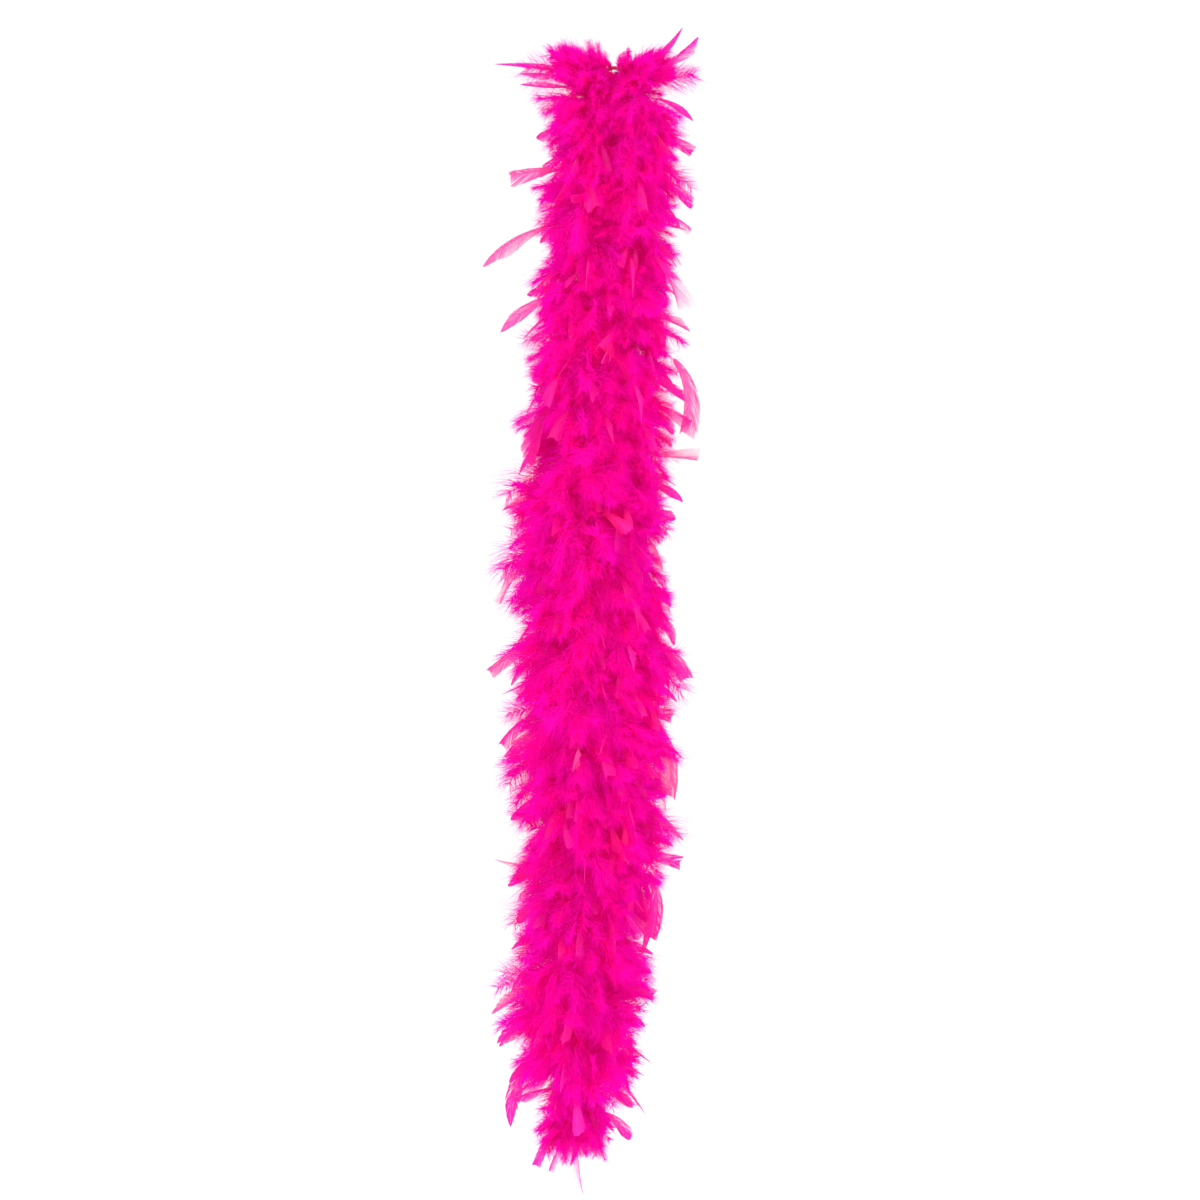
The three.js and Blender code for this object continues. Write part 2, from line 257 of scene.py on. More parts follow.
def follow(piece, tail, high, low):
    """Ties a piece that reaches from height high to low to the body it hangs in, so that it moves with its
    tail; one that reaches across a bending height is only baked in place.
    """
    below = [bend for bend in BENDS[tail] if bend[0] > (high + low) / 2]
    body = below[-1][2] if below else "fold"
    for height, upper, lower in BENDS[tail]:
        zone = TOP_BEND_ZONE if upper == "fold" else BEND_ZONE
        if low < height + zone and high > height - zone:
            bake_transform(piece)
            return
    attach(piece, body)


def strand_spans(tail):
    """The stretches of strand that each hold one bending height, as (first, last) mm of the line."""
    line = LINES[tail]
    heights = [bend[0] for bend in BENDS[tail]]
    middles = [(a + b) / 2 for a, b in zip(heights, heights[1:])]
    last = (heights[-1] + line[-1, 2]) / 2
    cuts = [0] + [int(np.argmin(np.abs(line[:, 2] - z))) for z in middles + [last]] + [len(line)]
    return list(zip(cuts, cuts[1:]))


CORD_NODES = {
    "long": [
        "core_cord_fold",
        "core_cord_long_upper",
        "core_cord_long_middle",
        "core_cord_long_lower",
        "core_cord_long_end",
    ],
    "short": [
        "core_cord_fold",
        "core_cord_short_upper",
        "core_cord_short_middle",
        "core_cord_short_end",
    ],
}

cotton_cord = dyed_cotton("dyed_twisted_cotton", ("#B0005A", "#E8107E"), fibre_mm=0.5)
for tail, line in LINES.items():
    spans = strand_spans(tail)
    for number, (first, last) in enumerate(spans):
        stretch = line[first : last + 1]
        plies = [
            tube(wound(stretch, PLY_STEP, CORD_RADIUS - PLY_RADIUS, PLY_TURN, phase), PLY_RADIUS, PLY_SIDES)
            for phase in (0, math.pi)
        ]
        piece = add_mesh(f"cord_{tail}_{number + 1}", *joined(plies), cotton_cord)
        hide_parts(CORD_NODES[tail][number])
        follow(piece, tail, stretch[:, 2].max(), stretch[:, 2].min())

# ---- Binding thread -----------------------------------------------------------------------------
# Sewing thread of the same dye, wound in an open helix along the whole cord. It goes over the
# quills and locks every bunch to the cord.

THREAD_RADIUS = 0.22 * MM
THREAD_TURN = 3.2 * MM
THREAD_STEP = 0.5 * MM

binding_thread = dyed_cotton("dyed_sewing_thread", ("#9C0048", "#D0106A"), fibre_mm=0.3)
for tail, line in LINES.items():
    for number, (first, last) in enumerate(strand_spans(tail)):
        winding = wound(line[first : last + 1], THREAD_STEP, CORD_RADIUS + THREAD_RADIUS, THREAD_TURN, 0)
        thread = tube(winding, THREAD_RADIUS, sides=4)
        piece = add_mesh(f"binding_{tail}_{number + 1}", *thread, binding_thread)
        follow(piece, tail, winding[:, 2].max(), winding[:, 2].min())

# ---- End whippings and knots --------------------------------------------------------------------
# At each end the thread is wound tight over the last quills, and the cord is tied in an overhand
# knot under it so that nothing slips off.

WHIPPING_LENGTH = 12 * MM
WHIPPING_STEP = 0.4 * MM
WHIPPING_THREAD_RADIUS = THREAD_RADIUS * 1.4
KNOT_RADIUS = 6.5 * MM
KNOT_CORD_RADIUS = 1.9 * MM
KNOT_DEPTH = 1.5           # the crossings stand apart from front to back by this much more

for tail, line in LINES.items():
    top = len(line) - 1 - round(WHIPPING_LENGTH / MM)
    over_quills = CORD_RADIUS + 3 * THREAD_RADIUS
    winding = wound(line[top:], WHIPPING_STEP, over_quills, 2 * THREAD_RADIUS, 0)
    thread = tube(winding, WHIPPING_THREAD_RADIUS, sides=5)
    whipping = add_mesh(f"whipping_{tail}", *thread, binding_thread)
    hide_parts(f"end_whipping_{tail}")
    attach(whipping, f"{tail}_end")

    # an overhand knot is a trefoil pulled tight
    a = np.linspace(0, 2 * math.pi, 90, endpoint=False)
    width = np.sin(a) + 2 * np.sin(2 * a)
    height = np.cos(a) - 2 * np.cos(2 * a)
    trefoil = np.stack([width, -np.sin(3 * a), height], axis=1)
    size = (KNOT_RADIUS - KNOT_CORD_RADIUS) / 3
    centre = line[-1] - np.array([0, 0, KNOT_RADIUS])
    path = centre + trefoil * size * np.array([1.0, KNOT_DEPTH, 1.0])
    vertices, faces = tube(path, KNOT_CORD_RADIUS, sides=8)
    knot = add_mesh(f"knot_{tail}", vertices, faces, cotton_cord)
    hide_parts(f"end_knot_{tail}")
    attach(knot, f"{tail}_end")

# ---- Feathers -----------------------------------------------------------------------------------
# Body feathers dyed hot pink. Each has a pale shaft, soft down barbs over its lower half and a flat
# vane at its tip, which is pointed or cut square. They are laid between the plies in bunches.

SHAFT_RADIUS = 0.45 * MM
SHAFT_TIP_RADIUS = SHAFT_RADIUS * 0.25
VANE_BARB_GAP = 0.8 * MM   # real barbs are 0.3 mm apart; this is the closest that stays light to draw
VANE_COVER = 0.92          # of the gap between two barbs
VANE_ANGLE = 34            # degrees between a barb and the shaft
BARBS_PER_CLUMP = 6        # barbs that hold together
CLUMP_SPREAD = 2.0         # degrees by which clumps differ in angle
BARB_SPREAD = 0.8          # degrees by which the barbs of a clump do
BARB_CURVE = 0.35          # of its angle that a barb loses towards its end
BARB_RAISE = 0.12 * MM     # the ends don't lie quite in one plane
POINTED_SHARE = 0.6        # of a pointed vane's length, over which it narrows
VANE_CUP = 0.5             # how much the vane's edges sink
DOWN_HALF_WIDTH = 0.26 * MM
FLUFF_HALF_WIDTH = 0.7 * MM  # barbs matted together next to the cord
DOWN_LENGTHS = (0.7, 1.15)  # least and most of a barb, against the feather's usual one
DOWN_LEAN = (58, 10)       # degrees from the shaft, mean and spread
DOWN_CURL = (30, 14)       # degrees that the barb turns back forwards by its end
DOWN_OFF_PLANE = 0.55      # spread in radians of the side that the barbs leave the shaft on
DOWN_WAVE = (0.4, 1.5)     # mm
DOWN_SWING = (3, 8)        # radians of wave along a barb
BARB_SAG = 5.5             # metres down for each square metre out from the shaft

# where a vertex lies in the dye's range: the shaft, then down and vane, each from where it meets the
# shaft and on by its span to its edge
SHAFT_PLACE = 0.05
DOWN_PLACE = 0.15
DOWN_SPAN = 0.4
VANE_PLACE = 0.65
VANE_SPAN = 0.3


def ribbons(points, side, half_width):
    """One thin ribbon along each row of points. side is the direction of its width."""
    rows, steps = points.shape[:2]
    edge = side * half_width[..., None]
    vertices = np.stack([points - edge, points + edge], axis=2).reshape(-1, 3)
    strip = grid_faces(steps, 2, closed=False)
    faces = (strip[None] + (np.arange(rows) * steps * 2)[:, None, None]).reshape(-1, 4)
    return vertices, faces


def shaft_part(length, steps=9):
    """The tapered shaft, three-sided, lying along the first axis."""
    line = np.zeros((steps, 3))
    line[:, 0] = np.linspace(0, length, steps)
    radius = np.linspace(SHAFT_RADIUS, SHAFT_TIP_RADIUS, steps)
    return tube(line, radius, sides=3)


def vane_part(rng, length, start, width, square):
    """The flat vane: barbs lying side by side at an angle to the shaft, in small clumps."""
    count = int((length - start) / VANE_BARB_GAP)
    base = np.linspace(start, length - 0.5 * MM, count)
    share = (base - start) / (length - start)
    outline = np.sin(np.clip(share * 2.4 + 0.3, 0, math.pi / 2))
    if not square:
        outline = outline * np.clip((1 - share) / POINTED_SHARE, 0, 1) ** 0.8
    parts = []
    for side in (-1, 1):
        clumps = rng.normal(0, CLUMP_SPREAD, count // BARBS_PER_CLUMP + 1)
        clump = np.repeat(clumps, BARBS_PER_CLUMP)[:count]
        angle = np.radians(VANE_ANGLE + clump + rng.normal(0, BARB_SPREAD, count))
        reach = width / 2 * outline / np.sin(angle)
        if square:
            reach = np.minimum(reach, (length + 0.6 * MM - base) / np.cos(angle))
        t = np.linspace(0, 1, 3)[None, :]
        turned = angle[:, None] * (1 - BARB_CURVE * t)
        raised = rng.normal(0, BARB_RAISE, (count, 1)) * t
        points = np.stack(
            [
                base[:, None] + reach[:, None] * t * np.cos(turned),
                side * reach[:, None] * t * np.sin(turned),
                -VANE_CUP * (reach[:, None] * t) ** 2 / width + raised,
            ],
            axis=-1,
        )
        along = np.gradient(points, axis=1)
        along /= np.linalg.norm(along, axis=2, keepdims=True) + 1e-12
        sideways = np.cross(along, [0.0, 0.0, 1.0])
        gap = (length - start) / count * np.sin(angle)
        half = np.broadcast_to((gap * VANE_COVER / 2)[:, None], (count, 3)) * np.array([1, 1, 0.8])
        parts.append(ribbons(points, sideways, half))
    return joined(parts)


def down_part(rng, length, start, end, reach, count, half_width, steps=3):
    """Soft barbs that stand off the shaft all round, curl forward and wave."""
    base = np.sort(rng.uniform(start, end, count))
    share = (base - start) / (end - start)
    grown = 0.55 + 0.45 * np.sin(math.pi * np.clip(share + 0.15, 0, 1))
    size = reach * grown * rng.uniform(*DOWN_LENGTHS, count)
    round_shaft = rng.choice([0, math.pi], count) + rng.normal(0, DOWN_OFF_PLANE, count)
    lean = np.radians(rng.normal(*DOWN_LEAN, count))
    curl = np.radians(rng.normal(*DOWN_CURL, count))
    t = np.linspace(0, 1, steps)[None, :]
    angle = lean[:, None] - curl[:, None] * t
    ds = size[:, None] / (steps - 1)
    forward = np.cumsum(np.cos(angle) * ds, axis=1) - np.cos(angle[:, :1]) * ds
    outward = np.cumsum(np.sin(angle) * ds, axis=1) - np.sin(angle[:, :1]) * ds
    wave = rng.uniform(*DOWN_WAVE, count)[:, None] * MM * t
    phase = rng.uniform(0, 2 * math.pi, (2, count, 1))
    swing = rng.uniform(*DOWN_SWING, count)[:, None] * t
    outward_a = outward * np.cos(round_shaft)[:, None] + wave * np.sin(swing + phase[0])
    outward_b = outward * np.sin(round_shaft)[:, None] + wave * np.sin(swing + phase[1])
    points = np.stack([base[:, None] + forward, outward_a, outward_b], axis=-1)
    turn = rng.uniform(0, math.pi, count)
    side = np.stack([np.cos(turn), np.sin(turn) * 0.5, np.sin(turn)], axis=-1)[:, None]
    side = side / np.linalg.norm(side, axis=2, keepdims=True)
    half = half_width * (1 - 0.85 * t) * np.ones((count, 1))
    return ribbons(points, side, half)


def feather_pattern(
    rng,
    length,
    vane_share,
    width,
    square,
    down_reach,
    down_count,
    down_from=0.08,
    down_half_width=DOWN_HALF_WIDTH,
):
    """A straight feather: vertices as (along the shaft, across, out of the vane), faces, and for each
    vertex where it lies in the dye's range."""
    start = length * (1 - vane_share)
    shaft = shaft_part(length)
    down_end = min(start + 0.12 * length, length)
    down = down_part(rng, length, down_from * length, down_end, down_reach, down_count, down_half_width)
    off_shaft = np.hypot(down[0][:, 1], down[0][:, 2])
    parts = [shaft, down]
    places = [
        np.full(len(shaft[0]), SHAFT_PLACE),
        DOWN_PLACE + DOWN_SPAN * np.clip(off_shaft / down_reach, 0, 1),
    ]
    if vane_share > 0:
        vane = vane_part(rng, length, start, width, square)
        off_shaft = np.abs(vane[0][:, 1])
        parts.append(vane)
        places.append(VANE_PLACE + VANE_SPAN * np.clip(off_shaft / (width / 2), 0, 1))
    vertices, faces = joined(parts)
    place = np.concatenate(places)
    return {"vertices": vertices, "faces": faces, "place": place, "length": length}


def lay_feather(pattern, root, start, end, roll, twist, size, shade):
    """Bends a straight feather along an arc that leaves root in one direction and ends in another."""
    bends = 12
    t = np.linspace(0, 1, bends + 1)[:, None]
    tangent = (1 - t) * start + t * end
    tangent /= np.linalg.norm(tangent, axis=1, keepdims=True)
    length = pattern["length"] * size
    step = length / bends
    centre = root + np.vstack([[0, 0, 0], np.cumsum((tangent[1:] + tangent[:-1]) / 2 * step, axis=0)])
    bend_axis = np.cross(start, end)
    bend_axis /= np.linalg.norm(bend_axis) + 1e-9
    other = np.cross(tangent, bend_axis)
    rolled = roll + twist * t
    across = np.cos(rolled) * bend_axis + np.sin(rolled) * other
    normal = np.cross(tangent, across)
    v = pattern["vertices"] * size
    at = np.clip(v[:, 0] / step, 0, bends)
    i = np.minimum(at.astype(int), bends - 1)
    f = (at - i)[:, None]

    def between(rows):
        return rows[i] * (1 - f) + rows[i + 1] * f

    beyond = (v[:, 0] - at * step)[:, None]
    placed = between(centre) + beyond * between(tangent) + v[:, 1:2] * between(across)
    placed += v[:, 2:3] * between(normal)
    stand_off = np.hypot(v[:, 1], v[:, 2])
    placed[:, 2] -= BARB_SAG * stand_off**2
    shades = np.column_stack([np.full(len(v), shade), pattern["place"]])
    return placed, pattern["faces"], shades


LIGHT_THROUGH = 0.78       # of the light that meets a feather, the share that passes through it
PAINTED_HOLLOW_GLOW = 0.2                 # strength of a faint red glow painted on the feathers, standing in for light bouncing in the hollows


def dyed_feather(name, shaft, down_deep, down_tip, vane, painted_glow_colour):
    """Dyed feather keratin: matt and fine-fibred, and thin enough that light comes through it, so
    that gaps between feathers look redder. A faint red glow is painted on all over as well. It stands in
    for light that bounces about in the hollows, so that they don't go dull. The shaft takes less dye and
    stays pale."""
    material = new_material(name)
    place = add_node(material, "ShaderNodeUVMap", {"uv_map": "OFBake"})
    split = add_node(material, "ShaderNodeSeparateXYZ", Vector=place.outputs["UV"])
    ramp = add_node(material, "ShaderNodeValToRGB", Fac=split.outputs["Y"])
    stops = ramp.color_ramp.elements
    stops[0].position, stops[0].color = 0.09, linear(shaft)
    stops[1].position, stops[1].color = 0.13, linear(down_deep)
    for position, colour in ((0.5, down_tip), (0.62, vane), (0.95, vane)):
        stop = stops.new(position)
        stop.color = linear(colour)
    # one feather differs a little from the next in hue and in how much dye it took
    each = split.outputs["X"]
    tint = add_node(material, "ShaderNodeMapRange", {"To Min": 0.49, "To Max": 0.51}, Value=each)
    bright = add_node(material, "ShaderNodeMapRange", {"To Min": 0.9, "To Max": 1.0}, Value=each)
    varied = add_node(
        material,
        "ShaderNodeHueSaturation",
        Color=ramp.outputs["Color"],
        Hue=tint.outputs["Result"],
        Value=bright.outputs["Result"],
    )
    keratin = add_node(
        material,
        "ShaderNodeBsdfPrincipled",
        {
            "Roughness": 0.6,
            "IOR": 1.54,
            "Sheen Weight": 0.04,
            "Specular IOR Level": 0.12,
            # painted glow: faint red light from the feathers themselves, in place of light bouncing in the
            # hollows
            "Emission Color": linear(painted_glow_colour),
            "Emission Strength": PAINTED_HOLLOW_GLOW,
        },
        Base_Color=varied.outputs["Color"],
    )
    through = add_node(material, "ShaderNodeBsdfTranslucent", Color=varied.outputs["Color"])
    mix = add_node(material, "ShaderNodeMixShader", {"Fac": LIGHT_THROUGH})
    material.node_tree.links.new(keratin.outputs["BSDF"], mix.inputs[1])
    material.node_tree.links.new(through.outputs["BSDF"], mix.inputs[2])
    return finish_material(material, mix.outputs["Shader"])


TUFT_PITCH = 55 * MM
FIRST_TUFT_DROP = 52 * MM
FEATHERS_PER_TUFT = 70
FLUFF_PER_TUFT = 28        # short downy ones next to the cord
VANED_PER_TUFT = 11
BUNCH_ABOVE = 20 * MM      # how far a bunch's feathers reach above and below where it is tied
BUNCH_BELOW = 75 * MM
COVERED_SIDE = 20          # degrees to each side of the other tail that downy feathers leave out
SIDE_SPREAD = 0.3          # how far a feather's end strays sideways
TWIST_SPREAD = 0.4         # radians, of a feather in a bunch
SET_TWIST_SPREAD = 0.3     # radians, of one with a set tip
LEAST_BEND = 1             # degrees, for a feather given no bend
# depth on each tail in mm, and how full its bunches are there
FULLNESS = {
    "long": (
        (50, 0.88),
        (180, 0.94),
        (330, 1.14),
        (430, 1.3),
        (600, 1.34),
        (690, 1.14),
        (740, 1.1),
        (800, 1.22),
        (930, 1.28),
        (990, 0.72),
    ),
    "short": ((50, 0.9), (300, 0.92), (420, 0.86), (540, 1.02), (680, 0.92), (767, 0.92)),
}
MOUND = 0.1                # a bunch's feathers differ this much in length from side to side
FLATTENING = 0.02          # and are this much shorter front and back
FRONT_SETTLING = 24        # degrees by which those hang lower than the ones at the sides

rng = np.random.default_rng(11)
hot_pink_feather = dyed_feather(
    "hot_pink_feather",
    shaft="#FF70C8",
    down_deep="#F800CC",
    down_tip="#F806DC",
    vane="#F834C0",
    # painted red glow, standing in for bounce light in the hollows
    painted_glow_colour="#FF0040",
)
fluff_patterns = [
    feather_pattern(
        rng,
        length=rng.uniform(38, 46) * MM,
        vane_share=0,
        width=0,
        square=False,
        down_reach=rng.uniform(16, 22) * MM,
        down_count=170,
        down_half_width=FLUFF_HALF_WIDTH,
    )
    for _ in range(8)
]
downy_patterns = [
    feather_pattern(
        rng,
        length=rng.uniform(44, 56) * MM,
        vane_share=0,
        width=0,
        square=False,
        down_reach=rng.uniform(17, 26) * MM,
        down_count=290,
        down_from=0.25,
    )
    for _ in range(14)
]
vaned_patterns = [
    feather_pattern(
        rng,
        length=rng.uniform(66, 84) * MM,
        vane_share=rng.uniform(0.45, 0.62),
        width=rng.uniform(13, 23) * MM,
        square=kind % 3 == 0,
        down_reach=rng.uniform(17, 24) * MM,
        down_count=120,
    )
    for kind in range(12)
]


def strand_at(tail, along):
    """A point of the strand, so many metres from the top of the fold, its direction down the tail,
    and two directions square to that."""
    line = LINES[tail]
    i = int(np.clip(round(along / MM), 1, len(line) - 2))
    down = line[i + 1] - line[i - 1]
    down /= np.linalg.norm(down)
    front = np.array([0.0, -1.0, 0.0])
    return line[i], down, np.cross(front, down), front


def along_at(tail, drop):
    """How far along the strand a depth below the hook is."""
    return int(np.searchsorted(-LINES[tail][:, 2], drop)) * MM


def fullness(tail, drop):
    """How full the bunches of a tail are at a depth below the hook; 1 is the usual size."""
    depths, sizes = zip(*FULLNESS[tail])
    return float(np.interp(drop / MM, depths, sizes))


def lay_one(rng, kinds, tail, along, azimuth, slopes, sizes, roll_spread):
    """One feather tied at that place, pointing that way round the strand."""
    point, down, right, front = strand_at(tail, along)
    out = math.cos(azimuth) * right + math.sin(azimuth) * front
    aside = math.cos(azimuth + math.pi / 2) * right + math.sin(azimuth + math.pi / 2) * front
    settled = FRONT_SETTLING * math.sin(azimuth) ** 2
    first, last = (math.radians(rng.normal(mean + settled, spread)) for mean, spread in slopes)
    start = math.cos(first) * out + math.sin(first) * down
    end = math.cos(last) * out + math.sin(last) * down + rng.normal(0, SIDE_SPREAD) * aside
    return lay_feather(
        kinds[rng.integers(len(kinds))],
        point + out * CORD_RADIUS * 0.9,
        start,
        end / np.linalg.norm(end),
        rng.normal(0, roll_spread),
        rng.normal(0, TWIST_SPREAD),
        rng.uniform(*sizes),
        rng.uniform(),
    )


def lay_between(rng, pattern, root, tip, bend, roll):
    """One feather from root to tip, bent by so many degrees each way; it sags when bend is positive."""
    span = tip - root
    reach = np.linalg.norm(span)
    ahead = span / reach
    sag = np.array([0.0, 0.0, -1.0])
    sag = sag - ahead * (sag @ ahead)
    sag /= np.linalg.norm(sag) + 1e-9
    turn = math.radians(bend or LEAST_BEND)
    start = math.cos(turn) * ahead - math.sin(turn) * sag
    end = math.cos(turn) * ahead + math.sin(turn) * sag
    size = reach * turn / math.sin(turn) / pattern["length"]
    twist = rng.normal(0, SET_TWIST_SPREAD)
    return lay_feather(pattern, root, start, end, roll, twist, size, rng.uniform())


def bunch(rng, kinds, tail, drop, count, slopes, sizes, roll_spread):
    """The feathers of one bunch, spread round the strand. The downy ones leave out the side that lies
    against the other tail."""
    made = []
    inward = 0.0 if tail == "long" else math.pi
    covered = math.radians(COVERED_SIDE) if kinds is downy_patterns and drop < SHORT_DROP else 0
    phase = rng.uniform(0, 2 * math.pi)
    for number in range(count):
        share = (number + rng.uniform(0, 1)) / count
        azimuth = inward + covered + share * 2 * (math.pi - covered)
        step = rng.uniform(-0.5, 0.5)
        mound = MOUND * math.sin(2 * azimuth + 5 * step + phase)
        grown = sizes * (1 + mound - FLATTENING * math.sin(azimuth) ** 2)
        along = along_at(tail, drop) + step * TUFT_PITCH
        made.append(lay_one(rng, kinds, tail, along, azimuth, slopes, grown, roll_spread))
    return made


def add_bunch(name, made, node):
    """One piece from a bunch's feathers, standing for its node."""
    vertices, faces = joined([(v, f) for v, f, _ in made])
    piece = add_mesh(name, vertices, faces, hot_pink_feather, np.vstack([p for _, _, p in made]))
    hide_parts(node)
    return piece


def tuft_drops(length):
    """The depths at which the bunches of a tail of that length are tied."""
    count = int((length - FIRST_TUFT_DROP - TUFT_PITCH / 3) / TUFT_PITCH) + 1
    return [FIRST_TUFT_DROP + i * TUFT_PITCH for i in range(count)]


# The most striking single feathers, listed one by one: tail, tip in mm (x, y, z), depth of the root in mm,
# kind, width in mm, bend in degrees
STRIKING_FEATHERS = [
    ("long", -115, -5, 5, 5, "spike", 7, 5),
    ("long", -90, -10, -5, 10, "leaf", 9, 5),
    ("long", -90, -10, -15, 15, "leaf", 9, -5),
    ("long", -85, -5, 0, 5, "downy", 0, 5),
    ("short", 65, -5, 40, 10, "spike", 8, -10),
    ("short", 80, -10, 30, 10, "leaf", 13, -15),
    ("short", 75, -5, -5, 15, "downy", 0, 5),
    ("short", 75, -10, -50, 25, "leaf", 8, 25),
    ("short", 60, -35, -230, 160, "leaf", 34, 25),
    ("long", -80, -20, -380, 305, "leaf", 20, 40),
    ("short", 35, -10, -830, 735, "cut", 16, 40),
    ("short", 25, 5, -850, 735, "leaf", 11, 35),
    ("long", -100, -15, -1010, 915, "leaf", 17, 40),
    ("long", -75, -15, -1045, 980, "cut", 10, 10),
    ("long", -65, -10, -1035, 970, "downy", 0, 5),
    ("long", -30, -5, -1075, 985, "leaf", 13, -10),
    ("long", -15, -10, -1015, 950, "downy", 0, 10),
    ("long", 30, 0, -1000, 940, "spike", 5, 15),
]
# The others follow a rule. Strand between two of them on one side, how far it may differ in mm, how
# far out their tips stand, how far below their roots, and how far aside
SIDE_PITCH = 24 * MM
SIDE_SHIFT = 8
SIDE_REACH = 50 * MM       # where the bunches are as full as usual
SIDE_EXTRA = 16 * MM       # the furthest one stands out more
SIDE_DROOP = (10 * MM, 45 * MM)
SIDE_ASIDE = 8 * MM
FACE_PITCH = 62 * MM
FACE_SHIFT = 20
FACE_REACH = (48 * MM, 62 * MM)
FACE_DROOP = (38 * MM, 55 * MM)
FACE_ASIDE = 16 * MM
# kind: its share, least and most width in mm
SINGLE_KINDS = {
    "leaf": (0.42, 8, 15),
    "cut": (0.1, 10, 16),
    "spike": (0.33, 4, 6),
    "downy": (0.15, 0, 0),
}
SINGLE_VANE_SHARES = {"leaf": 0.64, "cut": 0.6, "spike": 0.84}
SINGLE_WIDENING = 1.25     # a feather seen a little turned looks narrower than it is
SINGLE_DOWN_REACH = 0.16   # of the feather's length
SINGLE_DOWN_COUNT = 60
SINGLE_BEND = (2, 40)      # degrees
SINGLE_ROLL_SPREAD = 0.3   # radians


def single_feather(rng, tail, tip, root_drop, kind, width, bend):
    """One feather that stands out by itself, flat side to the front, from its tail to its tip."""
    root, _, _, _ = strand_at(tail, along_at(tail, root_drop))
    reach = np.linalg.norm(tip - root)
    if kind == "downy":
        pattern = downy_patterns[rng.integers(len(downy_patterns))]
    else:
        pattern = feather_pattern(
            rng,
            length=reach,
            vane_share=SINGLE_VANE_SHARES[kind],
            width=width * SINGLE_WIDENING,
            square=kind == "cut",
            down_reach=SINGLE_DOWN_REACH * reach,
            down_count=SINGLE_DOWN_COUNT,
        )
    roll = math.pi / 2 + rng.normal(0, SINGLE_ROLL_SPREAD)
    return lay_between(rng, pattern, root, tip, bend, roll)


singles = {}


def keep_single(tail, root_drop, made):
    """Files a single feather under the bunch that its root is nearest to; 0 is the fold's."""
    last = len(tuft_drops(LONG_DROP if tail == "long" else SHORT_DROP))
    number = round((root_drop - FIRST_TUFT_DROP) / TUFT_PITCH) + 1
    singles.setdefault((tail, min(max(number, 0), last)), []).append(made)


def chance_single(rng, tail, root_drop, offset):
    """A single feather of any kind, with its tip at an offset from its root."""
    kind = rng.choice(list(SINGLE_KINDS), p=[share for share, _, _ in SINGLE_KINDS.values()])
    width = rng.uniform(*SINGLE_KINDS[kind][1:]) * MM
    root, _, _, _ = strand_at(tail, along_at(tail, root_drop))
    bend = rng.uniform(*SINGLE_BEND)
    keep_single(tail, root_drop, single_feather(rng, tail, root + offset, root_drop, kind, width, bend))


for tail, x, y, z, root_drop, kind, width, bend in STRIKING_FEATHERS:
    tip = np.array([x, y, z]) * MM
    made = single_feather(rng, tail, tip, root_drop * MM, kind, width * MM, bend)
    keep_single(tail, root_drop * MM, made)

for tail, length, outer in (("long", LONG_DROP, -1), ("short", SHORT_DROP, 1)):
    for root_drop in np.arange(FIRST_TUFT_DROP, length - SIDE_PITCH, SIDE_PITCH):
        free_sides = (outer,) if root_drop < SHORT_DROP else (-1, 1)
        for side in free_sides:
            out = SIDE_REACH * fullness(tail, root_drop) + rng.uniform(0, SIDE_EXTRA)
            aside = rng.normal(0, SIDE_ASIDE)
            offset = np.array([side * out, aside, -rng.uniform(*SIDE_DROOP)])
            shift = rng.uniform(-SIDE_SHIFT, SIDE_SHIFT) * MM
            chance_single(rng, tail, root_drop + shift, offset)
    for root_drop in np.arange(FIRST_TUFT_DROP + FACE_PITCH, length - FACE_PITCH, FACE_PITCH):
        for face in (-1, 1):
            aside = rng.normal(0, FACE_ASIDE)
            out = rng.uniform(*FACE_REACH)
            offset = np.array([aside, face * out, -rng.uniform(*FACE_DROOP)])
            shift = rng.uniform(-FACE_SHIFT, FACE_SHIFT) * MM
            chance_single(rng, tail, root_drop + shift, offset)

# slopes below level in degrees at a feather's root and at its tip, each as mean and spread; the last
# bunch of a tail hangs straighter down
DOWNY_SLOPES = ((-2, 20), (38, 22))
DOWNY_END_SLOPES = ((25, 22), (70, 16))
FLUFF_SLOPES = ((-5, 25), (35, 25))
VANED_SLOPES = ((5, 20), (60, 18))
VANED_END_SLOPES = ((35, 14), (82, 8))
# least and most size against the patterns
DOWNY_SIZES = np.array([0.88, 1.06])
FLUFF_SIZES = np.array([0.9, 1.08])
VANED_SIZES = np.array([0.72, 0.92])
VANED_FULLEST = 1.12       # flat feathers don't grow past this with their bunch
# how far the flat side of a feather turns from level, in radians
DOWNY_ROLL = 0.5
FLUFF_ROLL = 1.0
VANED_ROLL = 0.35

for tail, length in (("long", LONG_DROP), ("short", SHORT_DROP)):
    drops = tuft_drops(length)
    for number, drop in enumerate(drops, 1):
        last = number == len(drops)
        full = fullness(tail, drop)
        slopes = DOWNY_END_SLOPES if last else DOWNY_SLOPES
        sizes = DOWNY_SIZES * full
        made = bunch(rng, downy_patterns, tail, drop, FEATHERS_PER_TUFT, slopes, sizes, DOWNY_ROLL)
        sizes = FLUFF_SIZES * full
        made += bunch(rng, fluff_patterns, tail, drop, FLUFF_PER_TUFT, FLUFF_SLOPES, sizes, FLUFF_ROLL)
        slopes = VANED_END_SLOPES if last else VANED_SLOPES
        sizes = VANED_SIZES * min(full, VANED_FULLEST)
        made += bunch(rng, vaned_patterns, tail, drop, VANED_PER_TUFT, slopes, sizes, VANED_ROLL)
        made += singles.get((tail, number), [])
        piece = add_bunch(f"feathers_{tail}_{number:02d}", made, f"tuft_{tail}_{number:02d}")
        follow(piece, tail, -drop + BUNCH_ABOVE, -drop - BUNCH_BELOW)

# ---- Feathers over the fold ---------------------------------------------------------------------
# The two bunches tied beside the hook. The strand bends away under them, so their feathers fan out
# upwards and outwards into two lobes with a notch between.

